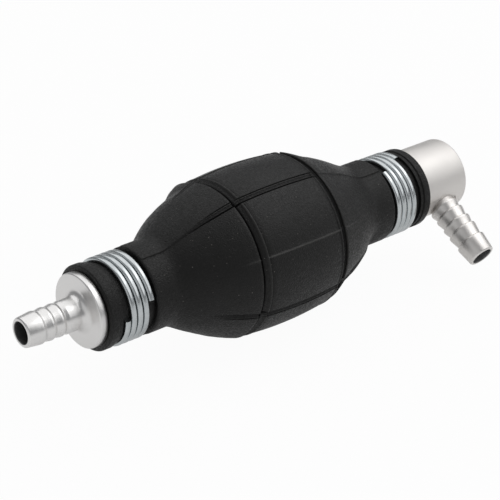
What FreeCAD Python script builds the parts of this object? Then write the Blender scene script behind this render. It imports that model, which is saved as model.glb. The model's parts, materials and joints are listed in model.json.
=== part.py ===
import FreeCAD, Part
import math
import os
from FreeCAD import Rotation, Vector

# A hand pump for a fuel hose: a moulded rubber bulb, clamped onto two turned aluminium
# fittings that each hold a sprung one-way valve. Squeezing the bulb pushes fuel out through the
# right-hand valve, and letting go draws more in through the left-hand one.
# X runs along the pump from inlet to outlet, Z is up, and the origin is the middle of the bulb.
# Lengths are in millimetres, angles in degrees round X, counted from +Y towards +Z.

# The bulb's outside
bulb_half_length = 59.0
belly_radius = 23.85            # at the middle
belly_crown = 0.75              # how much the belly falls from its middle to the two rings
ring_place = 13.3               # where the middle zone starts to roll off, from the middle
ring_width = 2.1
ring_roll = (1.3, 0.3)          # how far along and down the roll has come at its knee
ring_depth = 1.0
ring_step = 0.4                 # how far the dome's edge stands above the ring's floor
groove_depth = 0.6
groove_width = 2.0
groove_angles = (22.5, 67.5, 112.5, 202.5, 247.5, 292.5)
dome_bulge = 0.75               # how far the dome stands out from its own chord
middle_steps = 2                # straight steps in half the middle zone's curve
dome_steps = 3
neck_length = 21.8              # from the bulb's end to where the neck turns plain
neck_radius = 12.5
neck_curve = (2.9, 1.2)         # length and rise of the curve from the neck into the dome
neck_curve_sink = 0.16          # how far that curve sinks below its chord
neck_curve_steps = 2
neck_chamfer = 0.6
pad_height = 0.35               # the neck's raised top and bottom
pad_half_angle = 22.5
rim_length = 2.6
rim_drop = 0.3                  # below the neck's skin
rim_chamfer = 0.4
land_length = 1.2               # the low land between the clamp and the rim
land_drop = 0.65

# The bulb's inside
wall = 3.4
neck_bore_radius = 8.2
neck_bore_length = 21.0

# Wire clamps: flat wire wound round the neck
wire_width = 1.62
wire_thickness = 1.4
wire_gap = 0.43                 # between turns
wire_seat_gap = 0.03
clamp_turns = 3.955
clamp_inner_slack = 0.79        # between the clamp and the two ends of its seat
clamp_outer_slack = 0.59
inlet_clamp_start = 181.8
outlet_clamp_start = 115.2

# Hose tails
tail_bore_radius = 3.1
crest_radius = 4.65
crest_land = 0.5
tip_chamfer = 0.3
inlet_tail_length = 18.1        # from the flange to the tip
inlet_tip_radius = 4.2
inlet_trough_radius = 4.3
inlet_crests = (4.7, 7.8, 10.9)             # back edge of each crest, from the tip
inlet_crest_drop = 0.8
inlet_neck_rise = 1.0
outlet_tail_length = 20.03      # from the body's side to the tip
outlet_tip_radius = 4.15
outlet_trough_radius = 4.0
outlet_crests = (5.8, 10.1, 13.15, 16.65)
outlet_crest_drop = 0.35
outlet_neck_rise = 2.0
outlet_neck_length = 0.5
outlet_barb_place = 8.35        # from the body's inner face
outlet_barb_angle = 210.0

# Inlet fitting
flange_radius = 10.6
flange_thickness = 2.45
flange_chamfer = 0.25
flare_radius = 2.2              # between the inlet's neck and its flange
flare_steps = 3
end_gap = 0.05                  # between the rubber's end face and the metal behind it

# Spigots inside the rubber necks
spigot_gap = 0.05
spigot_length = 19.0
spigot_chamfer = 0.7
hold_tooth_places = (5.5, 10.0)             # from the spigot's open end
hold_tooth_length = 2.6
hold_tooth_depth = 0.45

# Outlet body
body_radius = 10.87
body_length = 16.75
body_end_chamfer = 0.7
end_wall = 3.8
barb_shoulder = 0.45            # how much thinner the tail is inside the body
barb_tail_gap = 0.02
barb_tail_clearance = 0.3       # between the tail's inner end and the flow bore
spot_face_gap = 0.35
spot_face_depth = 0.67

# One-way valves, the same in both fittings
chamber_wall = 1.65             # of the spigot round the valve
disc_gap = 1.3
disc_thickness = 1.5
seal_step = 0.2                 # how far the disc stands past its seal
seal_thickness = 1.2
seal_gap = 0.03
lip_inset = 0.8                 # how far the seal stands past the seat's lip
lip_width = 0.7
lip_height = 0.5
throat_depth = 2.0
button_neck_radius = 1.2
button_radius = 2.0
button_height = 0.8
fit_gap = 0.02
stem_radius = 1.5
stem_gap = 0.05
stem_tip = 0.8                  # how far the stem shows past the guide
stem_chamfer = 0.3
spring_gap = 0.35               # between the spring and the guide's hub inside it
spring_wire = 0.5
spring_turns = 4.0
spring_length = 6.4
guide_thickness = 2.4
guide_ring_wall = 1.2
guide_hub_wall = 0.9
guide_hub_rise = 1.0
guide_arm_width = 1.6
guide_arms = 3
guide_step = 1.3                # the step in the outlet's bore that the guide stands against
ring_thickness = 0.8            # snap rings
ring_radial = 1.3
ring_groove_depth = 0.6
ring_groove_slack = 0.1
ring_opening = 40.0
ring_lug_radius = 1.2
ring_lug_hole = 0.5
inlet_lip_depth = 2.3           # from the bulb's end

# The outlet's separate seat
seat_gap = 0.05
seat_wall = 1.25                # of the spigot round the seat
seat_mouth = 1.0                # between the spigot's open end and the snap ring's groove
seat_length = 3.6
seat_groove_width = 1.4
seat_groove_depth = 1.1
seat_seal_width = 1.3

x_axis = Vector(1, 0, 0)
parts = {}


def turned(points, sweep=360.0, first=0.0):
    # a solid turned about X from its half section, given as distance along X and radius;
    # a part turn starts at the top and goes towards -Y
    corners = [Vector(x, 0, radius) for x, radius in points]
    section = Part.Face(Part.makePolygon(corners + corners[:1]))
    solid = section.revolve(Vector(0, 0, 0), x_axis, sweep)
    solid.rotate(Vector(0, 0, 0), x_axis, first)
    return solid


def rod(radius, start, end):
    return Part.makeCylinder(radius, end - start, Vector(start, 0, 0), x_axis)


def facing(angle):
    # the direction straight out from the axis at this angle
    return Vector(0, math.cos(math.radians(angle)), math.sin(math.radians(angle)))


def bulged(start, end, bulge, steps):
    # points on a shallow curve that ends at a point, its middle standing out by the bulge
    dx, dr = end[0] - start[0], end[1] - start[1]
    length = math.hypot(dx, dr)
    points = []
    for index in range(1, steps + 1):
        part = index / steps
        out = 4 * bulge * part * (1 - part) / length
        points.append((start[0] + dx * part - out * dr, start[1] + dr * part + out * dx))
    return points


def flared(centre, radius, steps):
    # points on a quarter round that turns from along the axis to straight out
    points = []
    for index in range(steps + 1):
        turn = math.pi / 2 * index / steps
        points.append((centre[0] + radius * math.sin(turn), centre[1] - radius * math.cos(turn)))
    return points


def both_ends(first, points):
    # the right half's outline, after its mirror image and the point between them
    return [(-x, radius) for x, radius in reversed(points)] + [first] + points


# The bulb


def middle_zone(inset):
    # from just beside the belly's middle to its ring groove, moved in by a depth
    top, edge = belly_radius - inset, belly_edge_radius - inset
    return bulged((0, top), (ring_place, edge), (top - edge) / 4, middle_steps)


def dome(inset, end_inset):
    # the belly from its ring to the curve into the neck, moved in by a depth at each end
    start = (ring_end, dome_edge_radius - inset)
    end = (dome_end[0], dome_end[1] - end_inset)
    return [start] + bulged(start, end, dome_bulge, dome_steps)


def bulb_outside():
    land_radius = neck_radius - land_drop
    rim_radius = neck_radius - rim_drop
    points = middle_zone(0)
    points += [
        (ring_place + ring_roll[0], belly_edge_radius - ring_roll[1]),
        (ring_end, belly_edge_radius - ring_depth),
    ]
    points += dome(0, 0)
    points += bulged(dome_end, (neck_start, neck_radius), -neck_curve_sink, neck_curve_steps)
    points += [
        (clamp_seat_start - neck_chamfer, neck_radius),
        (clamp_seat_start, neck_radius - neck_chamfer),
        (clamp_seat_start, seat_radius),
        (clamp_seat_end, seat_radius),
        (clamp_seat_end, land_radius),
        (rim_start, land_radius),
        (rim_start, rim_radius),
        (bulb_half_length - rim_chamfer, rim_radius),
        (bulb_half_length, rim_radius - rim_chamfer),
        (bulb_half_length, 0),
    ]
    return turned(both_ends((0, belly_radius), points))


def bulb_inside():
    points = dome(wall, wall)
    points += [
        (bulb_half_length - neck_bore_length, neck_bore_radius),
        (bulb_half_length + 1, neck_bore_radius),
        (bulb_half_length + 1, 0),
    ]
    return turned(both_ends((0, belly_radius - wall), points))


def long_groove():
    # a straight-sided slot along the whole belly, that runs out where the domes end
    clear = belly_radius + groove_depth
    points = middle_zone(groove_depth) + dome(groove_depth, 0)
    points.append((dome_end[0], clear))
    corners = [Vector(x, -groove_width / 2, radius)
               for x, radius in both_ends((0, belly_radius - groove_depth), points)]
    floor = Part.Face(Part.makePolygon(corners + corners[:1]))
    return floor.extrude(Vector(0, groove_width, 0))


def neck_pads():
    # the top and bottom of each neck stand a little proud of its sides
    high = neck_radius + pad_height
    points = [(dome_end[0], neck_radius - 1), dome_end]
    points += bulged(dome_end, (neck_start, high), -neck_curve_sink, neck_curve_steps)
    points += [
        (clamp_seat_start - neck_chamfer, high),
        (clamp_seat_start, high - neck_chamfer),
        (clamp_seat_start, neck_radius - 1),
    ]
    pads = []
    for angle in (0, 180):
        pad = turned(points, 2 * pad_half_angle, angle - pad_half_angle)
        pads += [pad, pad.mirror(Vector(0, 0, 0), x_axis)]
    return pads


def bulb():
    solid = bulb_outside().fuse(neck_pads()).cut(bulb_inside())
    slots = []
    for angle in groove_angles:
        slot = long_groove()
        slot.rotate(Vector(0, 0, 0), x_axis, angle - 90)
        slots.append(slot)
    return solid.cut(slots)


# Wound pieces


class Helix:
    # a right-handed helix about X

    def __init__(self, radius, pitch, turns, start, angle):
        self.radius, self.pitch, self.turns = radius, pitch, turns
        self.start, self.angle = start, math.radians(angle)

    def out(self, turn):
        return facing(math.degrees(self.angle + 2 * math.pi * turn))

    def point(self, turn):
        return Vector(self.start + self.pitch * turn, 0, 0) + self.out(turn) * self.radius

    def along(self, turn):
        ahead = x_axis.cross(self.out(turn)) * (2 * math.pi * self.radius) + x_axis * self.pitch
        return ahead.normalize()

    def section(self, turn, corners):
        out = self.out(turn)
        across = self.along(turn).cross(out)
        place = self.point(turn)
        points = [place + across * u + out * v for u, v in corners]
        return Part.makePolygon(points + points[:1])


def arc_leaving(start, ahead, end):
    # the arc that leaves a point in a direction and ends at another point
    chord = end - start
    side = ahead - chord * (ahead.dot(chord) / chord.dot(chord))
    half_turn = ahead.getAngle(chord) / 2
    side.normalize()
    middle = (start + end) / 2 + side * (chord.Length / 2 * math.tan(half_turn))
    return Part.Arc(start, middle, end).toShape()


def biarc(start, ahead, end, ahead_at_end):
    # two arcs that meet smoothly, from one point and direction to the next
    chord = end - start
    both = ahead + ahead_at_end
    square = 2 * (1 - ahead.dot(ahead_at_end))
    reach = (math.sqrt(chord.dot(both) ** 2 + square * chord.dot(chord)) - chord.dot(both)) / square
    meet = (start + end + (ahead - ahead_at_end) * reach) / 2
    return [arc_leaving(start, ahead, meet), arc_leaving(end, ahead_at_end * -1, meet)]


def wound(name, helix, corners):
    # one unbroken wire on biarcs of about half a turn, its section set upright at each joint
    steps = round(2 * helix.turns)
    marks = [helix.turns * index / steps for index in range(steps + 1)]
    edges = []
    for a, b in zip(marks, marks[1:]):
        edges += biarc(helix.point(a), helix.along(a), helix.point(b), helix.along(b))
    path = Part.Wire(Part.__sortEdges__(edges))
    wire = path.makePipeShell([helix.section(mark, corners) for mark in marks], True, False)
    print(name, "volume %.2f, least gap to itself %.2f" % (wire.Volume, least_gap(helix, corners)))
    return wire


def least_gap(helix, corners, points_per_turn=48):
    # between corners of the wire that lie at least half a turn apart
    count = int(helix.turns * points_per_turn)
    rows = []
    for index in range(count + 1):
        turn = index / points_per_turn
        section = helix.section(turn, corners)
        rows.append([vertex.Point for vertex in section.Vertexes])
    least = math.inf
    for index, row in enumerate(rows):
        for other in rows[index + points_per_turn // 2:]:
            least = min(least, min((p - q).Length for p in row for q in other))
    return least


def clamp(name, place, angle):
    across, thick = wire_width / 2, wire_thickness / 2
    radius = seat_radius + wire_seat_gap + thick
    start = place - wire_pitch * clamp_turns / 2
    helix = Helix(radius, wire_pitch, clamp_turns, start, angle)
    corners = ((-across, -thick), (across, -thick), (across, thick), (-across, thick))
    return wound(name, helix, corners)


def spring(name, start):
    # a compression spring between the poppet's disc and the guide, in its fitted length
    half = spring_wire / 2
    travel = spring_length - spring_wire - 2 * fit_gap
    helix = Helix(spring_radius, travel / spring_turns, spring_turns, start + half + fit_gap, 90)
    corners = ((-half, 0), (0, -half), (half, 0), (0, half))
    return wound(name, helix, corners)


# Hose tails and fittings


def tail(tip, crests, tip_radius, trough_radius, drop, rise):
    # a hose tail's outline from its tip back: saw-teeth that grip the hose, then the plain neck
    points = [(tip, tip_radius - tip_chamfer), (tip + tip_chamfer, tip_radius)]
    for crest in crests:
        points += [
            (tip + crest - crest_land, crest_radius),
            (tip + crest, crest_radius),
            (tip + crest + drop, trough_radius),
        ]
    return points + [(tip + crests[-1] + drop + rise, crest_radius)]


def spigot():
    # the right-hand spigot's outline from its open end to the end of the bulb
    points = [(spigot_end, spigot_radius - spigot_chamfer), (spigot_end + spigot_chamfer, spigot_radius)]
    for tooth in hold_tooth_places:
        place = spigot_end + tooth
        points += [
            (place, spigot_radius),
            (place, spigot_radius - hold_tooth_depth),
            (place + hold_tooth_length, spigot_radius),
        ]
    return points


def snap_groove(radius, start):
    return rod(radius + ring_groove_depth, start, start + ring_thickness + ring_groove_slack)


def seat_lip(face):
    # the raised lip that the valve closes on, with its top at the given place
    top = rod(lip_outer_radius, face - lip_height, face)
    return top.cut(rod(throat_radius, face - lip_height - 1, face + 1))


def inlet_fitting():
    face = -bulb_half_length - end_gap
    front = face - flange_thickness
    tip = front - inlet_tail_length
    points = [(tip, 0)]
    points += tail(tip, inlet_crests, inlet_tip_radius, inlet_trough_radius, inlet_crest_drop,
                   inlet_neck_rise)
    points += flared((front - flare_radius, crest_radius + flare_radius), flare_radius, flare_steps)
    points += [
        (front, flange_radius - flange_chamfer),
        (front + flange_chamfer, flange_radius),
        (face - flange_chamfer, flange_radius),
        (face, flange_radius - flange_chamfer),
        (face, spigot_radius),
    ]
    points += [(-x, radius) for x, radius in reversed(spigot())]
    points.append((-spigot_end, 0))
    solid = turned(points)
    solid = solid.cut(rod(tail_bore_radius, tip - 1, inlet_lip - throat_depth))
    solid = solid.cut(rod(throat_radius, inlet_lip - throat_depth, inlet_lip))
    solid = solid.cut(rod(chamber_radius, inlet_lip - lip_height, 0))
    solid = solid.cut(snap_groove(chamber_radius, inlet_lip + guide_end + fit_gap))
    return solid.fuse(seat_lip(inlet_lip))


def outlet_body():
    end = body_face + body_length
    points = [(spigot_end, 0)] + spigot()
    points += [
        (body_face, spigot_radius),
        (body_face, body_radius - flange_chamfer),
        (body_face + flange_chamfer, body_radius),
        (end - body_end_chamfer, body_radius),
        (end, body_radius - body_end_chamfer),
        (end, 0),
    ]
    solid = turned(points)
    drill_point = flow_bore_radius * math.tan(math.radians(31))
    drilled = end - end_wall - drill_point
    solid = solid.cut(rod(seat_bore_radius, spigot_end - 1, outlet_lip - lip_height))
    solid = solid.cut(rod(chamber_radius, spigot_end - 1, outlet_lip + guide_end))
    solid = solid.cut(rod(flow_bore_radius, spigot_end - 1, drilled))
    solid = solid.cut(Part.makeCone(flow_bore_radius, 0, drill_point, Vector(drilled, 0, 0), x_axis))
    solid = solid.cut(snap_groove(seat_bore_radius, seat_ring_start))
    way = facing(outlet_barb_angle)
    hole = Part.makeCylinder(crest_radius - barb_shoulder + barb_tail_gap, body_radius, barb_hub, way)
    spot_floor = barb_hub + way * (body_radius - spot_face_depth)
    spot = Part.makeCylinder(crest_radius + spot_face_gap, body_radius, spot_floor, way)
    return solid.cut([hole, spot])


def outlet_barb():
    # turned along X with its tip at 0, then stood on the body's side
    reach = body_radius + outlet_tail_length
    end = reach - flow_bore_radius - barb_tail_clearance
    inner_radius = crest_radius - barb_shoulder
    points = tail(0, outlet_crests, outlet_tip_radius, outlet_trough_radius, outlet_crest_drop,
                  outlet_neck_rise)
    shoulder = points[-1][0] + outlet_neck_length
    points += [
        (shoulder, crest_radius),
        (shoulder, inner_radius),
        (end - tip_chamfer, inner_radius),
        (end, inner_radius - tip_chamfer),
        (end, tail_bore_radius),
        (0, tail_bore_radius),
    ]
    solid = turned(points)
    way = facing(outlet_barb_angle)
    solid.Placement = FreeCAD.Placement(barb_hub + way * reach, Rotation(x_axis * -1, way))
    return solid


# One-way valves


def poppet(lip):
    seal_start = lip + seal_gap
    disc_start = seal_start + seal_thickness
    disc_end = disc_start + disc_thickness
    head = seal_start - fit_gap
    tip = lip + guide_end + stem_tip
    return turned([
        (head - button_height, 0),
        (head - button_height, button_neck_radius),
        (head - button_height / 3, button_radius),
        (head, button_radius),
        (head, button_neck_radius),
        (disc_start, button_neck_radius),
        (disc_start, disc_radius),
        (disc_end, disc_radius),
        (disc_end, stem_radius),
        (tip - stem_chamfer, stem_radius),
        (tip, stem_radius - stem_chamfer),
        (tip, 0),
    ])


def poppet_seal(lip):
    start = lip + seal_gap
    washer = rod(disc_radius - seal_step, start, start + seal_thickness - fit_gap)
    return washer.cut(rod(button_neck_radius + fit_gap, start - 1, start + seal_thickness + 1))


def guide(lip):
    start = lip + guide_start
    outer = chamber_radius - fit_gap
    ring = rod(outer, start, start + guide_thickness)
    ring = ring.cut(rod(outer - guide_ring_wall, start - 1, start + guide_thickness + 1))
    spider = ring.fuse(rod(guide_hub_radius, start - guide_hub_rise, start + guide_thickness))
    reach = outer - guide_ring_wall / 2
    for index in range(guide_arms):
        arm = Part.makeBox(guide_thickness, guide_arm_width, reach, Vector(start, -guide_arm_width / 2, 0))
        arm.rotate(Vector(0, 0, 0), x_axis, 360 * index / guide_arms)
        spider = spider.fuse(arm)
    return spider.cut(rod(stem_radius + stem_gap, start - guide_hub_rise - 1, start + guide_thickness + 1))


def snap_ring(start, seat):
    # an internal snap ring, open at the top, with an eye at each end for the pliers
    outer = seat + ring_groove_depth - fit_gap
    inner = outer - ring_radial - ring_groove_depth
    end = start + ring_thickness
    ring = turned([(start, inner), (start, outer), (end, outer), (end, inner)],
                  360 - ring_opening, ring_opening / 2)
    pieces, holes = [], []
    lug_place = seat - fit_gap - ring_lug_radius
    half_opening = ring_opening / 2 + math.degrees(ring_lug_radius / lug_place)
    for side in (-1, 1):
        place = Vector(start, 0, 0) + facing(90 + side * half_opening) * lug_place
        pieces.append(Part.makeCylinder(ring_lug_radius, ring_thickness, place, x_axis))
        holes.append(Part.makeCylinder(ring_lug_hole, ring_thickness, place, x_axis))
    return ring.fuse(pieces).cut(holes)


def outlet_seat():
    back = outlet_lip - lip_height
    seat_radius_outside = seat_bore_radius - seat_gap
    insert = rod(seat_radius_outside, back - seat_length, back)
    half = seat_groove_width / 2
    groove = rod(seat_radius_outside + 1, seat_seal_place - half, seat_seal_place + half)
    groove = groove.cut(rod(seat_seal_floor, back - seat_length, back))
    insert = insert.cut(groove).fuse(seat_lip(outlet_lip))
    return insert.cut(rod(throat_radius, back - seat_length - 1, outlet_lip + 1))


def outlet_seat_seal():
    # a square-cut sealing ring in the seat's groove
    half = seat_seal_width / 2
    ring = rod(seat_bore_radius - fit_gap, seat_seal_place - half, seat_seal_place + half)
    return ring.cut(rod(seat_seal_floor + fit_gap, seat_seal_place - half - 1, seat_seal_place + half + 1))


# Sizes that follow from those above
wire_pitch = wire_width + wire_gap
clamp_length = wire_pitch * clamp_turns + wire_width
belly_edge_radius = belly_radius - belly_crown
ring_end = ring_place + ring_width
dome_edge_radius = belly_edge_radius - ring_depth + ring_step
neck_start = bulb_half_length - neck_length
dome_end = (neck_start - neck_curve[0], neck_radius + neck_curve[1])
rim_start = bulb_half_length - rim_length
clamp_seat_end = rim_start - land_length
clamp_seat_start = clamp_seat_end - clamp_outer_slack - clamp_length - clamp_inner_slack
seat_radius = neck_radius - wire_thickness - wire_seat_gap
clamp_place = clamp_seat_end - clamp_outer_slack - clamp_length / 2
spigot_radius = neck_bore_radius - spigot_gap
spigot_end = bulb_half_length - spigot_length
chamber_radius = spigot_radius - chamber_wall
seat_bore_radius = spigot_radius - seat_wall
disc_radius = chamber_radius - disc_gap
lip_outer_radius = disc_radius - seal_step - lip_inset
throat_radius = lip_outer_radius - lip_width
flow_bore_radius = chamber_radius - guide_step
guide_hub_radius = stem_radius + guide_hub_wall
spring_radius = guide_hub_radius + spring_gap + spring_wire / 2
spring_start = seal_gap + seal_thickness + disc_thickness       # from the top of the seat's lip
guide_start = spring_start + spring_length
guide_end = guide_start + guide_thickness
inlet_lip = inlet_lip_depth - bulb_half_length
seat_ring_start = spigot_end + seat_mouth
insert_start = seat_ring_start + ring_thickness + ring_groove_slack
outlet_lip = insert_start + seat_length + lip_height
seat_seal_place = insert_start + seat_length / 2
seat_seal_floor = seat_bore_radius - seat_groove_depth
body_face = bulb_half_length + end_gap
barb_hub = Vector(body_face + outlet_barb_place, 0, 0)

parts["bulb"] = bulb()
parts["inlet_fitting"] = inlet_fitting()
parts["outlet_body"] = outlet_body()
parts["outlet_barb"] = outlet_barb()
parts["inlet_clamp"] = clamp("inlet_clamp", -clamp_place, inlet_clamp_start)
parts["outlet_clamp"] = clamp("outlet_clamp", clamp_place, outlet_clamp_start)
parts["outlet_seat"] = outlet_seat()
parts["outlet_seat_seal"] = outlet_seat_seal()
for side, lip in (("inlet", inlet_lip), ("outlet", outlet_lip)):
    parts[side + "_poppet"] = poppet(lip)
    parts[side + "_poppet_seal"] = poppet_seal(lip)
    parts[side + "_spring"] = spring(side + "_spring", lip + spring_start)
    parts[side + "_guide"] = guide(lip)
parts["inlet_snap_ring"] = snap_ring(inlet_lip + guide_end + fit_gap * 2, chamber_radius)
parts["outlet_snap_ring"] = snap_ring(seat_ring_start + fit_gap, seat_bore_radius)

os.makedirs("parts", exist_ok=True)
for name, shape in parts.items():
    shape = shape.removeSplitter()
    if not shape.isValid() or len(shape.Solids) != 1:
        raise ValueError(name + " isn't one valid solid")
    shape.exportStep("parts/" + name + ".step")
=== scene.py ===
import bpy
import json
import math
from mathutils import Matrix, Vector


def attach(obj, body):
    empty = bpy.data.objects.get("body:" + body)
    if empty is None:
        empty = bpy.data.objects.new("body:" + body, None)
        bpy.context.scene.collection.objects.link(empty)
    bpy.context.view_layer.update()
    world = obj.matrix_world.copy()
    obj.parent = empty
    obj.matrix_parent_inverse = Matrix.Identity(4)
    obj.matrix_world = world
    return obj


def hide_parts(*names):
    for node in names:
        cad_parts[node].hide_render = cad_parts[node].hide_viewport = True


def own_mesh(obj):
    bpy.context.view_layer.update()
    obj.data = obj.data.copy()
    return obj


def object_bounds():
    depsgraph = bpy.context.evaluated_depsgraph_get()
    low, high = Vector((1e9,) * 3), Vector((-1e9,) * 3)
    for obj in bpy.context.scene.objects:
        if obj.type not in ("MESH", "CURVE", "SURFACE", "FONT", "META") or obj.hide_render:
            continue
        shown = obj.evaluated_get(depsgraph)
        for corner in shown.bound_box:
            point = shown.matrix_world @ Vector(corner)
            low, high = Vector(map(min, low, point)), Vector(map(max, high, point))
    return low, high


# A siphon bulb pump: black rubber bulb, two turned metal ends, flat zinc wire clamps and a small
# sprung valve in each end. X runs from the inlet to the outlet. Lengths are in millimetres and
# angles in degrees, unless a note says otherwise. A point of an outline is (place along X, radius).

mm = 0.001
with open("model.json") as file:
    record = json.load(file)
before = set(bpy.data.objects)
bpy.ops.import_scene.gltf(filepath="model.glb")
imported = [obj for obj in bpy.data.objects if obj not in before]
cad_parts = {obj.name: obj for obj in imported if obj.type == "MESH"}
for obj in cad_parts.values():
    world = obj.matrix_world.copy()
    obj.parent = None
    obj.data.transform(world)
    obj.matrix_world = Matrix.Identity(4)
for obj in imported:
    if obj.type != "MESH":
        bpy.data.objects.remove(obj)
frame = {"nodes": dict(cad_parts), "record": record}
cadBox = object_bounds()
bpy.ops.object.select_all(action="DESELECT")
print("frame loaded:", len(frame["nodes"]), "nodes")


# camera and lamps

camera = {
    "place": (-295.328, -343.354, 238.993),
    "ahead": (0.57382, 0.67088, -0.46974),
    "side": (0.76452, -0.64446, 0.01350),
    "lens": 129.2,
    "sensor": 36,
    "nearest": 10,
}


def makeCamera():
    data = bpy.data.cameras.new("camera")
    data.lens = camera["lens"]
    data.sensor_width = camera["sensor"]
    data.clip_start = camera["nearest"] * mm
    eye = bpy.data.objects.new("camera", data)
    bpy.context.scene.collection.objects.link(eye)
    ahead = Vector(camera["ahead"]).normalized()
    side = Vector(camera["side"])
    side = (side - ahead * side.dot(ahead)).normalized()
    turn = Matrix((side, side.cross(ahead), -ahead)).transposed()
    eye.matrix_world = Matrix.Translation(Vector(camera["place"]) * mm) @ turn.to_4x4()
    bpy.context.scene.camera = eye


lamps = {
    # place and size in metres, power in watts; each faces the bulb's middle
    "overhead": {"place": (0.25, 0.28, 0.85), "size": (2.0, 1.4), "power": 7.4},
    "frontRight": {"place": (0.62, -0.48, 0.70), "size": (1.25, 1.15), "power": 4.0},
    "frontLeft": {"place": (-0.80, -0.45, 0.35), "size": (0.9, 0.9), "power": 0.8},
}


def makeLamps():
    for name, shape in lamps.items():
        data = bpy.data.lights.new(name, "AREA")
        data.shape = "RECTANGLE"
        data.size, data.size_y = shape["size"]
        data.energy = shape["power"]
        lamp = bpy.data.objects.new(name, data)
        bpy.context.scene.collection.objects.link(lamp)
        lamp.location = shape["place"]
        lamp.rotation_mode = "QUATERNION"
        lamp.rotation_quaternion = (-Vector(shape["place"])).to_track_quat("-Z", "Y")


makeCamera()
makeLamps()
print("camera and lamps placed")


# shader maths

class Link:
    # one output socket of a node; a sum on it adds a Math node

    def __init__(self, bench, socket):
        self.bench = bench
        self.socket = socket

    def maths(self, operation, *values):
        return self.bench.add("ShaderNodeMath", {"operation": operation}, values)

    def __add__(self, other):
        return self.maths("ADD", self, other)

    __radd__ = __add__

    def __sub__(self, other):
        return self.maths("SUBTRACT", self, other)

    def __rsub__(self, other):
        return self.maths("SUBTRACT", other, self)

    def __mul__(self, other):
        return self.maths("MULTIPLY", self, other)

    __rmul__ = __mul__


class Bench:
    # the node tree of one material or world

    def __init__(self, owner):
        self.owner = owner
        owner.use_nodes = True
        self.tree = owner.node_tree
        self.tree.nodes.clear()

    def add(self, kind, settings=None, values=(), output=0):
        node = self.tree.nodes.new(kind)
        for key, value in (settings or {}).items():
            setattr(node, key, value)
        pairs = values.items() if isinstance(values, dict) else enumerate(values)
        for key, value in pairs:
            if isinstance(value, Link):
                self.tree.links.new(value.socket, node.inputs[key])
            elif value is not None:
                node.inputs[key].default_value = value
        return Link(self, node.outputs[output]) if node.outputs else None

    def place(self):
        return self.add("ShaderNodeTexCoord", {}, (), "Object")

    def noise(self, where, scale, detail=3.0, roughness=0.5):
        # scale in waves to a metre
        return self.add("ShaderNodeTexNoise", {},
                        {"Vector": where, "Scale": scale, "Detail": detail, "Roughness": roughness})

    def between(self, value, low, high, outLow=0.0, outHigh=1.0):
        return self.add("ShaderNodeMapRange", {}, (value, low, high, outLow, outHigh))

    def spread(self, noise, outLow, outHigh, reach=0.2):
        # the middle of a noise, up to reach either side of a half, drawn out between two values
        return self.between(noise, 0.5 - reach, 0.5 + reach, outLow, outHigh)

    def mixColour(self, factor, low, high):
        return self.add("ShaderNodeMix", {"data_type": "RGBA"}, {0: factor, 6: low, 7: high}, 2)

    def vector(self, operation, first, second=None, output="Vector"):
        return self.add("ShaderNodeVectorMath", {"operation": operation}, (first, second), output)

    def scaled(self, direction, length):
        return self.add("ShaderNodeVectorMath", {"operation": "SCALE"},
                        {"Vector": direction, "Scale": length})

    def bump(self, height, strength, distance):
        return self.add("ShaderNodeBump", {},
                        {"Strength": strength, "Distance": distance * mm, "Height": height}, "Normal")

    def seen(self, mirrored):
        # 1 where the background is seen directly or through something clear, the share mirrored
        # where it is seen in a reflection, and 0 for all other light
        direct, clear, glossy = (self.add("ShaderNodeLightPath", output="Is %s Ray" % kind)
                                 for kind in ("Camera", "Transmission", "Glossy"))
        return direct.maths("MAXIMUM", direct.maths("MAXIMUM", direct, clear), glossy * mirrored)

    def finish(self, fixed, changing):
        shader = self.add("ShaderNodeBsdfPrincipled", {}, {**fixed, **changing})
        self.add("ShaderNodeOutputMaterial", {}, (shader,))
        return self.owner


# materials

rubber = {
    "colour": (0.0040, 0.0040, 0.0038, 1),
    "worn": (0.0065, 0.0064, 0.0058, 1),
    # painted highlight: the paler colour laid on the mould line and on the lips of the grooves
    "highlightColour": (0.045, 0.044, 0.042, 1),
    # painted shade: the darker colour laid in crevices and on groove floors
    "creviceShadeColour": (0.0012, 0.0012, 0.0012, 1),
    "dust": (0.16, 0.15, 0.14, 1),
    "roughness": (0.40, 0.50),
    "creviceRoughness": 0.35,       # added to it in a crevice
    "dustRoughness": 0.2,
    "glintRoughness": 0.1,          # taken off or added from one grain to the next
    "gloss": 0.28,
    "refraction": 1.5,
    "cloudScale": 60.0,
    "grainSize": 0.3,
    "grainHeight": 0.14,
    "glintsPerGrain": 0.56,
    "glintReach": 0.15,
    "speckSpacing": 1.7,
    "speckEdge": (0.11, 0.05),      # where a speck fades in, in spacings from its middle
    "speckChance": (0.3, 0.7),
    "speckStrength": 0.75,
}
unpaintedLight = 0.5                     # the bulb's painted light attribute, plain here: 0 for painted shade in a crevice, 1 for a painted highlight on the mould line and lips


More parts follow.
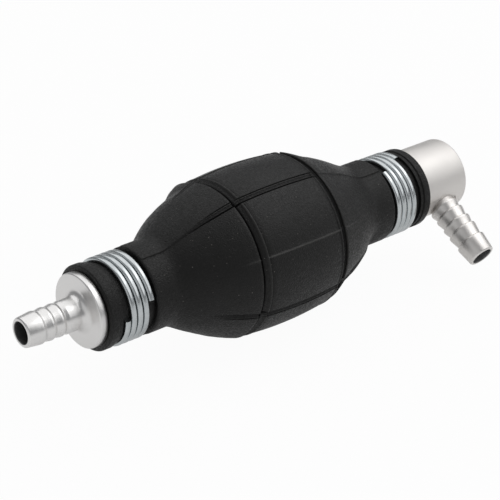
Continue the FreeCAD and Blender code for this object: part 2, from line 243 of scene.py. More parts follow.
def rubberMaterial():
    # satin rubber with a fine moulded grain, a painted highlight on the mould line and lips, painted
    # shade in crevices and a few specks of dust
    bench = Bench(bpy.data.materials.new("satinRubber"))
    where = bench.place()
    cloud = bench.noise(where, rubber["cloudScale"])
    grain = bench.noise(where, 1 / mm / rubber["grainSize"], 0.0)
    glint = bench.noise(where, rubber["glintsPerGrain"] / mm / rubber["grainSize"], 0.0)
    cells = {"Vector": where, "Scale": 1 / mm / rubber["speckSpacing"], "Randomness": 1.0}
    near = bench.add("ShaderNodeTexVoronoi", {"feature": "F1"}, cells, "Distance")
    cellColour = bench.add("ShaderNodeTexVoronoi", {"feature": "F1"}, cells, "Color")
    chance = bench.add("ShaderNodeSeparateColor", {}, (cellColour,))
    speck = bench.between(near, *rubber["speckEdge"]) * bench.between(chance, *rubber["speckChance"])
    # painted light from the bulb's attribute: below plain it lays painted shade in crevices, above
    # plain a painted highlight on the mould line and lips
    paintedLight = bench.add("ShaderNodeAttribute", {"attribute_name": "paintedLight"}, (), "Fac")
    highlightMask = bench.between(paintedLight, unpaintedLight, 1.0)
    creviceShadeMask = bench.between(paintedLight, unpaintedLight, 0.0)
    colour = bench.mixColour(cloud, rubber["colour"], rubber["worn"])
    colour = bench.mixColour(highlightMask, colour, rubber["highlightColour"])
    colour = bench.mixColour(creviceShadeMask, colour, rubber["creviceShadeColour"])
    colour = bench.mixColour(speck * rubber["speckStrength"], colour, rubber["dust"])
    swing = rubber["glintRoughness"]
    rough = bench.spread(cloud, *rubber["roughness"])
    rough = rough + bench.spread(glint, -swing, swing, rubber["glintReach"])
    rough = rough + speck * rubber["dustRoughness"] + creviceShadeMask * rubber["creviceRoughness"]
    return bench.finish(
        {"IOR": rubber["refraction"], "Specular IOR Level": rubber["gloss"]},
        {"Base Color": colour, "Roughness": rough,
         "Normal": bench.bump(grain, 1.0, rubber["grainHeight"])},
    )


turnedMetal = {
    "colour": (0.84, 0.83, 0.82, 1),
    "shade": (0.72, 0.71, 0.70, 1),
    "warmColour": (0.76, 0.735, 0.71, 1),
    "warmShade": (0.71, 0.69, 0.67, 1),
    # painted shade: the darker colour inside a hose tail's bore
    "drilled": (0.20, 0.20, 0.20, 1),
    "roughness": (0.24, 0.36),
    "drilledRoughness": 0.5,
    "boreRadius": 3.3,              # inside it a hose tail is drilled
    "boreEdge": 0.05,
    "ringsPerMm": 2.2,
    "ringDetail": (5.0, 0.75),
    "ringShare": 0.6,               # of the roughness pattern, the rest being clouds
    "ringBump": (0.45, 0.05),       # strength and height
    "cloudScale": 140.0,
}


def turnedMaterial(name, axis=(1, 0, 0), middle=(0, 0, 0), warm=False, satin=0.0, drilled=True):
    # satin metal with the turning tool's fine rings round its axis, and a rougher drilled bore darkened
    # with painted shade
    bench = Bench(bpy.data.materials.new(name))
    metal = turnedMetal
    where = bench.vector("SUBTRACT", bench.place(), [part * mm for part in middle])
    along = bench.vector("DOT_PRODUCT", where, axis, "Value")
    streak = bench.add("ShaderNodeCombineXYZ", {}, (along * (1 / mm), 0.0, 0.0))
    rings = bench.noise(streak, metal["ringsPerMm"], *metal["ringDetail"])
    cloud = bench.noise(where, metal["cloudScale"])
    shade, bright = (("warmShade", "warmColour") if warm else ("shade", "colour"))
    colour = bench.mixColour(rings, metal[shade], metal[bright])
    pattern = rings * metal["ringShare"] + cloud * (1 - metal["ringShare"])
    rough = bench.spread(pattern, *[value + satin for value in metal["roughness"]])
    # painted shade: inside the bore the colour is darkened, as if little light got in
    if drilled:
        out = bench.vector("SUBTRACT", where, bench.scaled(axis, along))
        out = bench.vector("LENGTH", out, None, "Value")
        edge, radius = metal["boreEdge"], metal["boreRadius"]
        bore = bench.between(out, (radius + edge) * mm, (radius - edge) * mm)
        colour = bench.mixColour(bore, colour, metal["drilled"])
        rough = rough + (metal["drilledRoughness"] - rough) * bore
    return bench.finish(
        {"Metallic": 1.0},
        {"Base Color": colour, "Roughness": rough, "Normal": bench.bump(rings, *metal["ringBump"])},
    )


zincPlate = {
    "colour": (0.60, 0.63, 0.64, 1),
    "dull": (0.52, 0.55, 0.56, 1),
    "roughness": (0.19, 0.28),
    "patchScale": 260.0,
    "patchDetail": (4.0, 0.6),
    "patchReach": 0.15,
    "patchBump": (0.06, 0.05),
}


def zincMaterial():
    # bright plating with faint duller patches
    bench = Bench(bpy.data.materials.new("zincWire"))
    patch = bench.noise(bench.place(), zincPlate["patchScale"], *zincPlate["patchDetail"])
    bright = bench.spread(patch, 0.0, 1.0, zincPlate["patchReach"])
    low, high = zincPlate["roughness"]
    return bench.finish(
        {"Metallic": 1.0},
        {
            "Base Color": bench.mixColour(bright, zincPlate["dull"], zincPlate["colour"]),
            "Roughness": bench.spread(patch, high, low),
            "Normal": bench.bump(patch, *zincPlate["patchBump"]),
        },
    )


steel = {"colour": (0.62, 0.62, 0.64), "roughness": (0.24, 0.36), "metallic": 1.0, "scale": 1800.0,
         "bump": (0.1, 0.05)}
acetal = {"colour": (0.80, 0.80, 0.77), "roughness": (0.38, 0.50), "metallic": 0.0, "scale": 900.0,
          "bump": (0.1, 0.05)}
sealRubber = {"colour": (0.02, 0.02, 0.02), "roughness": (0.55, 0.67), "metallic": 0.0, "scale": 2500.0,
              "bump": (0.3, 0.05)}
plainShade = 0.82                   # the darkest part of a plain finish


def plainMaterial(name, finish):
    # one colour with a little cloud and grain
    bench = Bench(bpy.data.materials.new(name))
    cloud = bench.noise(bench.place(), finish["scale"])
    shade, bright = ([part * share for part in finish["colour"]] + [1] for share in (plainShade, 1))
    return bench.finish(
        {"Metallic": finish["metallic"]},
        {
            "Base Color": bench.mixColour(cloud, shade, bright),
            "Roughness": bench.spread(cloud, *finish["roughness"]),
            "Normal": bench.bump(cloud, *finish["bump"]),
        },
    )


# modelling helpers

def openEdit(piece):
    bpy.ops.object.select_all(action="DESELECT")
    bpy.context.view_layer.objects.active = piece
    piece.select_set(True)
    bpy.ops.object.mode_set(mode="EDIT")


def closeEdit():
    bpy.ops.object.mode_set(mode="OBJECT")


def applyAll(piece):
    bpy.context.view_layer.objects.active = piece
    for modifier in list(piece.modifiers):
        bpy.ops.object.modifier_apply(modifier=modifier.name)


def turned(name, outline, sides):
    # a circle round X drawn out step by step along a closed outline
    place, radius = outline[0]
    bpy.ops.mesh.primitive_circle_add(vertices=sides, radius=radius * mm, location=(place * mm, 0, 0),
                                      rotation=(0, math.pi / 2, 0))
    piece = bpy.context.active_object
    piece.name = piece.data.name = name
    bpy.ops.object.transform_apply(location=True, rotation=True, scale=True)
    openEdit(piece)
    bpy.ops.mesh.select_all(action="SELECT")
    for before, after in zip(outline, list(outline[1:]) + [outline[0]]):
        step = (after[0] - before[0]) * mm
        bpy.ops.mesh.extrude_region_move(TRANSFORM_OT_translate={"value": (step, 0, 0)})
        grow = after[1] / before[1]
        bpy.ops.transform.resize(value=(1, grow, grow), center_override=(after[0] * mm, 0, 0))
    bpy.ops.mesh.select_all(action="SELECT")
    bpy.ops.mesh.remove_doubles(threshold=1e-7)
    bpy.ops.mesh.normals_make_consistent(inside=False)
    closeEdit()
    return piece


def softenEdges(piece, width, steps, leastAngle):
    bevel = piece.modifiers.new("edges", "BEVEL")
    bevel.width = width * mm
    bevel.segments = steps
    bevel.limit_method = "ANGLE"
    bevel.angle_limit = math.radians(leastAngle)
    bevel.harden_normals = False
    applyAll(piece)


def smooth(piece, angle):
    bpy.ops.object.select_all(action="DESELECT")
    bpy.context.view_layer.objects.active = piece
    piece.select_set(True)
    bpy.ops.object.shade_smooth_by_angle(angle=math.radians(angle))


def settle(piece, material, node):
    # every remade piece belongs to the pump's own body
    piece.data.materials.clear()
    piece.data.materials.append(material)
    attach(piece, "pump")
    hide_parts(node)


def curved(start, end, crown, steps):
    # points on a shallow curve that stands out by the crown halfway; start is left out
    dx, dr = end[0] - start[0], end[1] - start[1]
    length = math.hypot(dx, dr)
    points = []
    for index in range(1, steps + 1):
        part = index / steps
        out = 4 * crown * part * (1 - part) / length
        points.append((start[0] + dx * part - out * dr, start[1] + dr * part + out * dx))
    return points


def rounded(centre, radius, first, last, steps):
    # points of a round about its centre, from the first angle to the last
    points = []
    for index in range(steps + 1):
        angle = math.radians(first + (last - first) * index / steps)
        points.append((centre[0] + radius * math.cos(angle), centre[1] + radius * math.sin(angle)))
    return points


def mirrored(outline):
    # an outline of the outlet end, turned round for the inlet end
    return [(-place, radius) for place, radius in reversed(outline)]


# the bulb

bulbShape = {
    # half of the outline, from the belly's middle to the neck's end and back inside
    "middle": (0, 23.85),
    "zoneEnd": (12.6, 23.16),
    "ringNearSide": ((12.75, 23.06), (12.9, 23.06), (13.05, 23.18), (13.2, 23.24), (13.42, 23.19),
                     (13.58, 23.03), (13.7, 22.82), (13.95, 22.5), (14.3, 22.25), (14.6, 22.1),
                     (14.72, 21.95), (14.8, 21.75)),
    "ringSlot": ((14.88, 0.12), (15.0, 0), (15.25, 0), (15.4, 0.12)),    # heights above its floor
    "slotFloor": {"inlet": 20.95, "outlet": 21.7},
    "ringFarSide": ((15.46, 21.8), (15.51, 22.05), (15.6, 22.33), (15.78, 22.42)),
    "domeEnd": (34.3, 13.7),
    "neckStart": (37.2, 12.5),
    "neckRows": (38.5, 40.0, 41.5, 42.8),
    "shoulder": ((43.45, 11.86), 0.64),     # the centre and size of a round
    "wireSeat": ((44.09, 11.1), (55.2, 11.1)),
    "land": ((55.2, 11.85), (56.4, 11.85)),
    "beadStart": ((56.75, 11.85), 0.35),
    "beadEnd": ((58.6, 11.8), 0.4),
    "neckBore": ((59.0, 8.45), (58.75, 8.2), (48.0, 8.2), (38.0, 8.2)),
    "innerDome": ((34.3, 10.3), (15.4, 19.1)),
    "innerMiddle": (0, 20.45),
    # how far each stretch is crowned, and in how many rows
    "zoneCrown": (0.18, 9),
    "domeCrown": (0.74, 28),
    "neckCrown": (-0.16, 6),
    "innerCrown": (-0.75, 6),
    # what lies outside this is the skin, as far as the relief goes
    "wallMiddle": ((0, 22.0), (15.4, 20.4), (34.3, 12.6), (36.0, 11.6), (60, 11.3)),
    "reliefEnd": 44.1,
    "panelSteps": 12,
}

ringShape = {
    # the skin as it would run over a ring groove, and how far past the end that is used
    "over": ((13.3, 23.1), (15.4, 22.5)),
    "overReach": 0.3,
    "panelStart": (15.42, 0.2),     # where the panels start to stand out, and over what length
    # painted light along the bulb: a painted highlight on the ring's lips and painted shade in its slot
    "paintedLight": {
        "inlet": ((12.6, 0.5), (12.75, 0.25), (12.9, 0.3), (13.05, 0.72), (13.42, 0.66), (13.7, 0.56),
                  (14.5, 0.48), (14.75, 0.0), (15.48, 0.0), (15.6, 0.58), (16.0, 0.5)),
        "outlet": ((13.0, 0.5), (13.2, 0.56), (13.6, 0.45), (14.5, 0.4), (14.8, 0.2), (15.25, 0.2),
                   (15.46, 0.6), (15.6, 0.66), (16.0, 0.5)),
    },
}

grooveShape = {
    "depth": 0.5,
    "least": 0.001,                 # a shallower point isn't cut
    "half": 1.0,                    # half its width on the belly
    "edge": (0.14, 0.8),            # half its soft edge, and that as a share of half its width at most
    "lineEnd": (36.5, 0.13),        # where it has narrowed to a line, and half its width there
    # across it, in half widths from its middle, from the stepped, sloping side to the steep one:
    # shares of the depth, then painted light: painted shade on the floor and at its feet, a painted
    # highlight on the rims and the ledge
    "across": ((-1.07, 0.0), (-0.94, 0.7), (-0.84, 0.7), (-0.72, 0.4), (-0.55, 0.45), (-0.4, 1.1),
               (0.3, 1.2), (0.6, 2.8), (0.88, 2.8), (1.0, 0.3), (1.07, 0.0)),
    "paintedLight": ((-1.07, 0.58), (-0.94, 0.1), (-0.84, 0.15), (-0.72, 0.74), (-0.58, 0.72), (-0.42, 0.3),
             (0.28, 0.3), (0.5, 0.0), (0.93, 0.0), (1.07, 0.56)),
    # where the mesh has lines: shares of its floor, soft edge halves from its edge, and
    # millimetres past its edge
    "floorLines": (0.3, 0.55, 0.7, 0.85, 1),
    "edgeLines": (-0.5, 0, 0.5, 1),
    "besideLines": (0.5, 1.1),
}

# each long groove by its angle: the side of its steep wall, and for each dome where it starts to
# run out, where its floor ends and half its width there
grooveRuns = {
    22.5: {"steep": -1, "inlet": (20.0, 29.5, 0.6), "outlet": (20.0, 29.5, 0.6)},
    67.5: {"steep": 1, "inlet": (19.5, 24.2, 0.5), "outlet": (19.5, 24.2, 0.5)},
    112.5: {"steep": 1, "inlet": (17.0, 33.5, 0.25), "outlet": (14.4, 15.9, 0.15)},
    202.5: {"steep": -1, "inlet": (20.0, 29.5, 0.6), "outlet": (20.0, 29.5, 0.6)},
    247.5: {"steep": -1, "inlet": (19.5, 24.2, 0.5), "outlet": (19.5, 24.2, 0.5)},
    292.5: {"steep": 1, "inlet": (17.0, 33.5, 0.25), "outlet": (17.0, 33.5, 0.25)},
}

mouldLine = {
    "angles": (157.5, 337.5),
    "rise": 0.3,
    "half": 0.24,
    "fade": {"inlet": (16.0, 21.5), "outlet": (17.0, 26.0)},
    "paintedHighlight": (1, 0, 0.5),           # how strong its painted highlight is on the belly, in the ring groove and on the dome
    "ringReach": 0.2,
    "lines": (0.1, 0.2, 0.5),       # where the mesh has lines, from its middle
}

# how far the panel after each groove stands above the plain dome, at places along both domes
panelRise = {
    22.5: {
        "inlet": ((15.5, 0.1), (23.6, 0.4), (30.0, 0.35), (36.4, 0.0)),
        "outlet": ((15.5, 0.1), (20.0, -0.05), (30.0, -0.1), (36.4, 0.0)),
    },
    67.5: {
        "inlet": ((15.5, 0.1), (23.6, 0.4), (30.0, 0.35), (36.6, 0.35)),
        "outlet": ((15.5, 0.2), (17.0, 0.2), (20.5, -0.1), (31.0, -0.15), (36.8, 0.35)),
    },
    112.5: {
        "inlet": ((15.5, 0.2), (18.0, 0.2), (23.0, 0.1), (28.0, 0.0)),
        "outlet": ((15.5, 0.0), (17.5, -0.1), (21.0, -0.35), (31.0, -0.4), (36.5, 0.0)),
    },
    202.5: {
        "inlet": ((15.5, 0.2), (22.0, 0.1), (26.0, 0.0)),
        "outlet": ((15.5, 0.0), (36.0, 0.0)),
    },
    247.5: {
        "inlet": ((15.5, 0.3), (22.0, 0.2), (26.0, 0.0), (29.0, -0.35), (35.0, -0.55), (38.5, -0.1),
                  (40.5, 0.2)),
        "outlet": ((15.5, 0.2), (23.0, 0.0), (30.5, 0.0), (36.6, 0.35)),
    },
    292.5: {
        "inlet": ((15.5, 0.2), (24.0, 0.0)),
        "outlet": ((15.5, 0.1), (24.0, 0.0)),
    },
}

# soft swellings and hollows: dome, angle, how far round they reach, and heights along the dome
swells = (
    ("inlet", 45, 26, ((15.5, 1.0), (17.0, 0.75), (19.2, -0.6), (22.0, -0.35), (25.0, -0.15),
                       (28.5, 0.1), (33.0, 0.1), (36.4, 0.0))),
    ("inlet", 240, 26, ((15.5, 0.45), (18.0, 0.4), (22.0, 0.15), (26.0, 0.0))),
    ("outlet", 56, 32, ((15.5, 0.5), (16.5, 0.4), (18.7, -0.85), (20.7, -0.95), (23.4, -0.35),
                        (30.0, 0.0))),
    ("outlet", 228, 30, ((15.5, 0.3), (16.3, 0.05), (18.2, -1.25), (21.0, -0.8), (25.0, -0.2),
                         (36.0, 0.0))),
    ("outlet", 208, 30, ((30.0, 0.0), (34.2, -0.75), (37.0, -0.7), (40.0, 0.0))),
)


def offset(angle, target):
    return (angle - target + 180) % 360 - 180


def nearest(angle, targets):
    return min(targets, key=lambda target: abs(offset(angle, target)))


def eased(share):
    share = min(max(share, 0.0), 1.0)
    return share * share * (3 - 2 * share)


def heightAt(keys, far):
    # a height at a place, eased from one key to the next and level beyond the last ones
    for (first, low), (last, high) in zip(keys, keys[1:]):
        if far <= last:
            return low + (high - low) * eased((far - first) / (last - first))
    return keys[-1][1]


def endOf(place):
    return "inlet" if place < 0 else "outlet"


def grooveAt(groove, place):
    # depth, half width and half the soft edge of a long groove at a place along the bulb
    far = abs(place)
    start, end, endHalf = grooveRuns[groove][endOf(place)]
    depth = grooveShape["depth"] * (1 - eased((far - start) / (end - start)))
    half = heightAt(((start, grooveShape["half"]), (end, endHalf), grooveShape["lineEnd"]), far)
    edge, share = grooveShape["edge"]
    return depth, half, min(edge, share * half)


def skinLines(place, radius):
    # the angles of the mesh's lines along the skin, close together where a groove or mould line is
    rows = []
    for feature in sorted(list(grooveRuns) + list(mouldLine["angles"])):
        if feature in grooveRuns:
            half, soft = grooveAt(feature, place)[1:]
            steps = [(half - soft) * share for share in grooveShape["floorLines"]]
            steps += [half + soft * share for share in grooveShape["edgeLines"]]
            steps += [half + beside for beside in grooveShape["besideLines"]]
        else:
            steps = list(mouldLine["lines"])
        steps = [-step for step in reversed(steps)] + [0] + steps
        rows.append([feature + math.degrees(math.asin(step / radius)) for step in steps])
    angles = []
    count = bulbShape["panelSteps"]
    for row, following in zip(rows, rows[1:] + rows[:1]):
        gap = (following[0] - row[-1]) % 360
        angles += row + [row[-1] + gap * index / count for index in range(1, count)]
    return angles


def panelHeights(place, angle, groove):
    # how far the panels before and after a groove stand above the plain dome
    far, end = abs(place), endOf(place)
    swell = sum(heightAt(keys, far) * eased(1 - abs(offset(angle, middle)) / reach)
                for side, middle, reach, keys in swells if side == end)
    start, length = ringShape["panelStart"]
    onDome = eased((far - start) / length)
    order = list(grooveRuns)
    panels = order[order.index(groove) - 1], groove
    return [(heightAt(panelRise[panel][end], far) + swell) * onDome for panel in panels]


def overRing(far, radius):
    # the skin's radius as if it ran straight over the ring groove
    (first, high), (last, low) = ringShape["over"]
    if first < far < last + ringShape["overReach"]:
        return high + (low - high) * (far - first) / (last - first)
    return radius


def mouldRidge(place, radius, angle):
    # how far the mould line stands out at a point, and how much painted highlight it gets
    far = abs(place)
    turn = math.radians(offset(angle, nearest(angle, mouldLine["angles"])))
    away = radius * math.sin(turn) / mouldLine["half"]
    start, end = mouldLine["fade"][endOf(place)]
    ridge = max(1 - away * away, 0) * (1 - eased((far - start) / (end - start)))
    ringStart, ringEnd = (key[0] for key in ringShape["over"])
    belly, ring, dome = mouldLine["paintedHighlight"]
    paintedHighlight = belly if far < ringStart else ring if far < ringEnd + mouldLine["ringReach"] else dome
    return mouldLine["rise"] * ridge, (1 - unpaintedLight) * ridge * paintedHighlight


def relief(place, radius, angle):
    # how far a point of the belly or neck moves out from the turned skin, and its painted light:
    # painted shade in crevices, a painted highlight on lips and the mould line
    far = abs(place)
    groove = nearest(angle, grooveRuns)
    before, after = panelHeights(place, angle, groove)
    depth, half = grooveAt(groove, place)[:2]
    away = radius * math.sin(math.radians(offset(angle, groove)))
    rise = before + (after - before) * eased((away + half) / (2 * half))
    paintedLight = heightAt(ringShape["paintedLight"][endOf(place)], far)
    across = away * grooveRuns[groove]["steep"] / half
    if abs(across) < grooveShape["across"][-1][0]:
        shade = heightAt(grooveShape["paintedLight"], across) - unpaintedLight
        paintedLight += shade * depth / grooveShape["depth"]
        depth *= heightAt(grooveShape["across"], across)
        if depth > grooveShape["least"]:
            rise += min(overRing(far, radius) - radius - depth, 0)
    ridge, paintedHighlight = mouldRidge(place, radius, angle)
    return rise + ridge, min(max(paintedLight + paintedHighlight, 0.0), 1.0)


def halfOutline(end):
    shape = bulbShape
    floor = shape["slotFloor"][end]
    half = curved(shape["middle"], shape["zoneEnd"], *shape["zoneCrown"])
    half += shape["ringNearSide"]
    half += [(place, floor + height) for place, height in shape["ringSlot"]]
    half += shape["ringFarSide"]
    half += curved(shape["ringFarSide"][-1], shape["domeEnd"], *shape["domeCrown"])
    half += curved(shape["domeEnd"], shape["neckStart"], *shape["neckCrown"])
    half += [(place, shape["neckStart"][1]) for place in shape["neckRows"]]
    half += rounded(*shape["shoulder"], 90, 0, 5)
    half += shape["wireSeat"] + shape["land"]
    half += rounded(*shape["beadStart"], 175, 90, 4) + rounded(*shape["beadEnd"], 90, 0, 4)
    half += shape["neckBore"] + shape["innerDome"][:1]
    return half + curved(*shape["innerDome"], *shape["innerCrown"])


def makeBulb():
    outline = [bulbShape["middle"]] + halfOutline("outlet")
    outline += [bulbShape["innerMiddle"]] + mirrored(halfOutline("inlet"))
    columns = len(skinLines(*bulbShape["middle"]))
    piece = turned("bulbSkin", outline, columns)
    linesAt = {}
    paintedLights = []
    for vertex in piece.data.vertices:
        point = vertex.co / mm
        far, radius = abs(point.x), math.hypot(point.y, point.z)
        column = round(math.degrees(math.atan2(point.z, point.y)) * columns / 360) % columns
        row = round(point.x, 3), round(radius, 3)
        if row not in linesAt:
            linesAt[row] = skinLines(point.x, radius)
        angle = linesAt[row][column]
        rise, paintedLight = 0, unpaintedLight
        if far < bulbShape["reliefEnd"] and radius > heightAt(bulbShape["wallMiddle"], far):
            rise, paintedLight = relief(point.x, radius, angle)
        radius += rise
        paintedLights.append(paintedLight)
        turn = math.radians(angle)
        vertex.co = Vector((point.x, radius * math.cos(turn), radius * math.sin(turn))) * mm
    # the painted light attribute: painted shade in crevices, a painted highlight on lips and the mould
    # line
    piece.data.attributes.new("paintedLight", "FLOAT", "POINT").data.foreach_set("value", paintedLights)
    smooth(piece, angle=50)
    print("bulb:", columns, "lines,", len(piece.data.polygons), "faces")
    settle(piece, rubberMaterial(), "bulb")


makeBulb()


# wound pieces

clampWire = {
    "width": 1.78,
    "thickness": 1.4,
    "corner": (0.66, 5),            # the size of its rounds, and their steps
    "pitch": 2.05,
    "turns": 3.955,
    "stepsPerTurn": 64,
    "radius": 11.77,
    "places": {"inlet": (-49.726, 181.8), "outlet": (49.726, 115.2)},       # middle, start angle
}

springWire = {
    "thickness": 0.5,
    "sides": 12,
    "pitch": 1.465,
    "turns": 4.0,
    "stepsPerTurn": 36,
    "radius": 3.0,
    "startAngle": 90,
    "places": {"inlet": (-53.70, -0.04757), "outlet": (49.0, 0.05513)},     # start, fixed end in metres
    "keep": 0.6875,                 # the share of its length that is left at full lift
}


def flatSection():
    bpy.ops.mesh.primitive_plane_add(size=1, rotation=(math.pi / 2, 0, 0))
    piece = bpy.context.active_object
    piece.scale = (clampWire["width"] * mm, clampWire["thickness"] * mm, 1)
    bpy.ops.object.transform_apply(location=True, rotation=True, scale=True)
    size, steps = clampWire["corner"]
    openEdit(piece)
    bpy.ops.mesh.select_all(action="SELECT")
    bpy.ops.mesh.bevel(offset=size * mm, segments=steps, affect="VERTICES")
    bpy.ops.mesh.delete(type="ONLY_FACE")
    closeEdit()


def roundSection():
    bpy.ops.mesh.primitive_circle_add(vertices=springWire["sides"], rotation=(math.pi / 2, 0, 0),
                                      radius=springWire["thickness"] / 2 * mm)


def wound(name, shape, start, angle, drawSection):
    # a section drawn round X by a Screw modifier, its two ends closed
    drawSection()
    piece = bpy.context.active_object
    piece.name = piece.data.name = name
    bpy.ops.object.transform_apply(location=True, rotation=True, scale=True)
    piece.data.transform(Matrix.Translation((start * mm, 0, shape["radius"] * mm)))
    piece.data.transform(Matrix.Rotation(math.radians(angle - 90), 4, "X"))
    screw = piece.modifiers.new("turns", "SCREW")
    screw.axis = "X"
    screw.angle = math.radians(360 * shape["turns"])
    screw.screw_offset = shape["pitch"] * shape["turns"] * mm
    screw.steps = screw.render_steps = int(shape["stepsPerTurn"] * shape["turns"])
    screw.use_normal_calculate = True
    applyAll(piece)
    openEdit(piece)
    bpy.ops.mesh.select_all(action="SELECT")
    bpy.ops.mesh.remove_doubles(threshold=1e-8)
    bpy.ops.mesh.select_all(action="DESELECT")
    bpy.ops.mesh.select_mode(type="EDGE")
    bpy.ops.mesh.select_non_manifold(extend=False)
    bpy.ops.mesh.edge_face_add()
    bpy.ops.mesh.select_all(action="SELECT")
    bpy.ops.mesh.normals_make_consistent(inside=False)
    closeEdit()
    return piece


def makeClamps():
    zinc = zincMaterial()
    half = clampWire["pitch"] * clampWire["turns"] / 2
    for end, (middle, angle) in clampWire["places"].items():
        piece = wound(end + "ClampWire", clampWire, middle - half, angle, flatSection)
        smooth(piece, angle=40)
        settle(piece, zinc, end + "_clamp")


def makeSprings():
    bright = plainMaterial("springSteel", steel)
    for end, (start, fixedEnd) in springWire["places"].items():
        piece = wound(end + "SpringWire", springWire, start, springWire["startAngle"], roundSection)
        smooth(piece, angle=60)
        settle(piece, bright, end + "_spring")
        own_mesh(piece)


makeClamps()
makeSprings()
print("clamps and springs wound")


# turned ends

hoseTail = {
    "bore": 3.1,
    "boreEdge": 0.15,
    "tipEdge": 0.3,
    "crest": 4.65,
    "land": 0.5,                    # the level top of a tooth
    "sides": 96,
}

# the plug in each neck, from its inner end over two holding teeth to the flange
spigot = {
    "end": 40.0,
    "radius": 8.15,
    "chamfer": 0.7,
    "teeth": (45.5, 50.0),
    "toothDepth": 0.45,
    "toothLength": 2.6,
    "flange": 59.05,
    "flangeEdge": 0.25,
}

inletFitting = {
    # the teeth are places from the tip; behind each the tail drops to the trough, and behind the
    # last one it rises again
    "tip": -79.6,
    "tipRadius": 4.2,
    "teeth": (4.7, 7.8, 10.9),
    "trough": 4.3,
    "drop": 0.8,
    "rise": 1.0,
    "flare": (2.2, 9),              # the round into the flange, and its steps
    "front": -61.5,
    "flange": 10.6,
    "chamber": ((-40.0, 6.5), (-44.25, 6.5), (-44.25, 7.1), (-45.15, 7.1), (-45.15, 6.5), (-57.2, 6.5)),
    "valveSeat": ((-57.2, 4.2), (-56.7, 4.2), (-56.7, 3.5), (-58.7, 3.5)),
    "edges": (0.16, 3, 9),          # width, steps and the least angle softened
}

outletTail = {
    "reach": 30.9,                  # from the pump's axis to the tip
    "angle": 210.0,
    "place": 67.4,
    "tipRadius": 4.15,
    "teeth": (5.8, 10.1, 13.15, 16.65),
    "trough": 4.0,
    "drop": 0.35,
    "rise": 2.0,
    "neckEnd": 19.5,
    "root": 4.2,
    "rootEdge": 0.3,
    "end": 25.4,
    "edges": (0.07, 2, 9),
    "satin": 0.08,
}

outletBlock = {
    "radius": 10.87,
    "end": 75.8,
    "endRound": (0.8, 6),
    "pinhole": 0.02,                # a turned outline can't touch the axis
    "drillEnd": 72.0,
    "chamber": ((68.88, 5.2), (57.53, 5.2), (57.53, 6.5), (45.5, 6.5), (45.5, 6.9)),
    "ringGroove": ((41.9, 6.9), (41.9, 7.5), (41.0, 7.5), (41.0, 6.9)),
    "hole": 4.22,                   # for the angled tail
    "spotFace": 5.0,
    "spotFloor": 10.2,              # the flat's distance from the pump's axis
    "cutEnd": 14,
    "edges": (0.09, 2, 30),
    "sides": 128,
    "satin": 0.2,
}


def tailOutline(tip, shape):
    # from the bore's edge over the teeth to the plain neck
    bore, crest, edge = hoseTail["bore"], hoseTail["crest"], hoseTail["tipEdge"]
    points = [(tip + hoseTail["boreEdge"], bore), (tip, bore + hoseTail["boreEdge"])]
    points += [(tip, shape["tipRadius"] - edge), (tip + edge, shape["tipRadius"])]
    for tooth in shape["teeth"]:
        points += [(tip + tooth - hoseTail["land"], crest), (tip + tooth, crest),
                   (tip + tooth + shape["drop"], shape["trough"])]
    return points + [(tip + shape["teeth"][-1] + shape["drop"] + shape["rise"], crest)]


def spigotOutline():
    end, radius, chamfer = spigot["end"], spigot["radius"], spigot["chamfer"]
    points = [(end, radius - chamfer), (end + chamfer, radius)]
    for tooth in spigot["teeth"]:
        points += [(tooth, radius), (tooth, radius - spigot["toothDepth"]),
                   (tooth + spigot["toothLength"], radius)]
    return points + [(spigot["flange"], radius)]


def makeInletFitting():
    shape = inletFitting
    front, flange, edge = shape["front"], shape["flange"], spigot["flangeEdge"]
    flare, steps = shape["flare"]
    points = tailOutline(shape["tip"], shape)
    points += rounded((front - flare, hoseTail["crest"] + flare), flare, 270, 360, steps)
    points += [(front, flange - edge), (front + edge, flange)]
    points += [(-spigot["flange"] - edge, flange), (-spigot["flange"], flange - edge)]
    points += mirrored(spigotOutline())
    points += shape["chamber"] + shape["valveSeat"]
    points += [(shape["valveSeat"][-1][0], hoseTail["bore"])]
    piece = turned("inletTail", points, hoseTail["sides"])
    softenEdges(piece, *shape["edges"])
    smooth(piece, angle=30)
    settle(piece, turnedMaterial("turnedInlet"), "inlet_fitting")


def outward(angle):
    return Vector((0, math.cos(math.radians(angle)), math.sin(math.radians(angle))))


def cutAcross(piece, radius, start, end):
    # a round hole in the outlet tail's direction, from one distance from the pump's axis to another
    way = outward(outletTail["angle"])
    middle = Vector((outletTail["place"] * mm, 0, 0)) + way * (start + end) / 2 * mm
    bpy.ops.mesh.primitive_cylinder_add(vertices=hoseTail["sides"], radius=radius * mm,
                                        depth=(end - start) * mm, location=middle,
                                        rotation=way.to_track_quat("Z", "Y").to_euler())
    tool = bpy.context.active_object
    cut = piece.modifiers.new("hole", "BOOLEAN")
    cut.operation = "DIFFERENCE"
    cut.solver = "EXACT"
    cut.object = tool
    applyAll(piece)
    bpy.data.objects.remove(tool)


def makeOutletBlock():
    shape = outletBlock
    radius, end, flange, edge = shape["radius"], shape["end"], spigot["flange"], spigot["flangeEdge"]
    size, steps = shape["endRound"]
    points = [(spigot["end"], shape["ringGroove"][-1][1])] + spigotOutline()
    points += [(flange, radius - edge), (flange + edge, radius)]
    points += rounded((end - size, radius - size), size, 90, 0, steps)
    points += [(end, shape["pinhole"]), (shape["drillEnd"], shape["pinhole"])]
    points += shape["chamber"] + shape["ringGroove"]
    piece = turned("outletBlock", points, shape["sides"])
    softenEdges(piece, *shape["edges"])
    cutAcross(piece, shape["hole"], 0, shape["cutEnd"])
    cutAcross(piece, shape["spotFace"], shape["spotFloor"], shape["cutEnd"])
    smooth(piece, angle=30)
    metal = turnedMaterial("turnedBlock", warm=True, satin=shape["satin"], drilled=False)
    settle(piece, metal, "outlet_body")


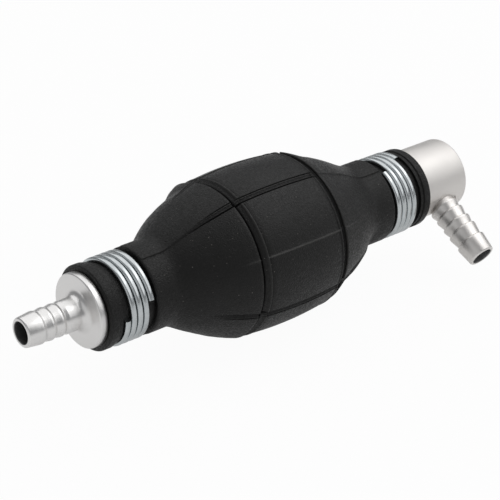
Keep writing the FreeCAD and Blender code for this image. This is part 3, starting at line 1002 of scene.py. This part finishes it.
def makeOutletTail():
    shape = outletTail
    root, edge, end = shape["root"], shape["rootEdge"], shape["end"]
    points = tailOutline(0, shape)
    points += [(shape["neckEnd"], hoseTail["crest"]), (shape["neckEnd"], root)]
    points += [(end - edge, root), (end, root - edge), (end, hoseTail["bore"])]
    piece = turned("outletTail", points, hoseTail["sides"])
    softenEdges(piece, *shape["edges"])
    smooth(piece, angle=30)
    way, middle = outward(shape["angle"]), (shape["place"], 0, 0)
    turn = Vector((-1, 0, 0)).rotation_difference(way).to_matrix().to_4x4()
    tip = Vector(middle) + way * shape["reach"]
    piece.data.transform(Matrix.Translation(tip * mm) @ turn)
    metal = turnedMaterial("turnedTail", tuple(way), middle, warm=True, satin=shape["satin"])
    settle(piece, metal, "outlet_barb")


makeInletFitting()
makeOutletBlock()
makeOutletTail()
print("turned ends ready")


# inner pieces keep their CAD shape

def finishInnerPieces():
    finishes = {
        "acetal": plainMaterial("acetal", acetal),
        "seal": plainMaterial("sealRubber", sealRubber),
        "spring_steel": plainMaterial("ringSteel", steel),
        "aluminium": turnedMaterial("turnedSeat"),
    }
    for row in frame["record"]["subparts"]:
        node = frame["nodes"][row["node"]]
        if not node.hide_render:
            node.data.materials.clear()
            node.data.materials.append(finishes[row["material_slot"]])


finishInnerPieces()
print("inner pieces finished")


# floor and world

studio = {
    "white": (1, 1, 1, 1),
    "floorSize": 6,                 # in metres
    "floorColour": (0.8, 0.8, 0.8, 1),
    "floorWhite": 0.96,             # the share of pure white where it is seen directly
    "floorMirrored": 0.42,
    "roomColour": (0.95, 0.97, 1.0, 1),
    "roomLight": 0.2,
    "roomMirrored": 0.08,
}


def makeFloor():
    bpy.ops.mesh.primitive_plane_add(size=studio["floorSize"], location=(0, 0, cadBox[0].z))
    floor = bpy.context.active_object
    floor.name = "floor"
    bench = Bench(bpy.data.materials.new("paleFloor"))
    plain = bench.add("ShaderNodeBsdfDiffuse", {}, {"Color": studio["floorColour"]})
    white = bench.add("ShaderNodeEmission", {}, {"Color": studio["white"], "Strength": 1.0})
    share = bench.seen(studio["floorMirrored"]) * studio["floorWhite"]
    mixed = bench.add("ShaderNodeMixShader", {}, (share, plain, white))
    bench.add("ShaderNodeOutputMaterial", {}, (mixed,))
    floor.data.materials.append(bench.owner)


def makeWorld():
    world = bpy.data.worlds.new("studio")
    bpy.context.scene.world = world
    bench = Bench(world)
    room = bench.add("ShaderNodeBackground", {},
                     {"Color": studio["roomColour"], "Strength": studio["roomLight"]})
    white = bench.add("ShaderNodeBackground", {}, {"Color": studio["white"], "Strength": 1.0})
    mixed = bench.add("ShaderNodeMixShader", {}, (bench.seen(studio["roomMirrored"]), room, white))
    bench.add("ShaderNodeOutputWorld", {}, (mixed,))


makeFloor()
makeWorld()
bpy.context.scene.view_settings.view_transform = "Standard"
print("floor and world ready")
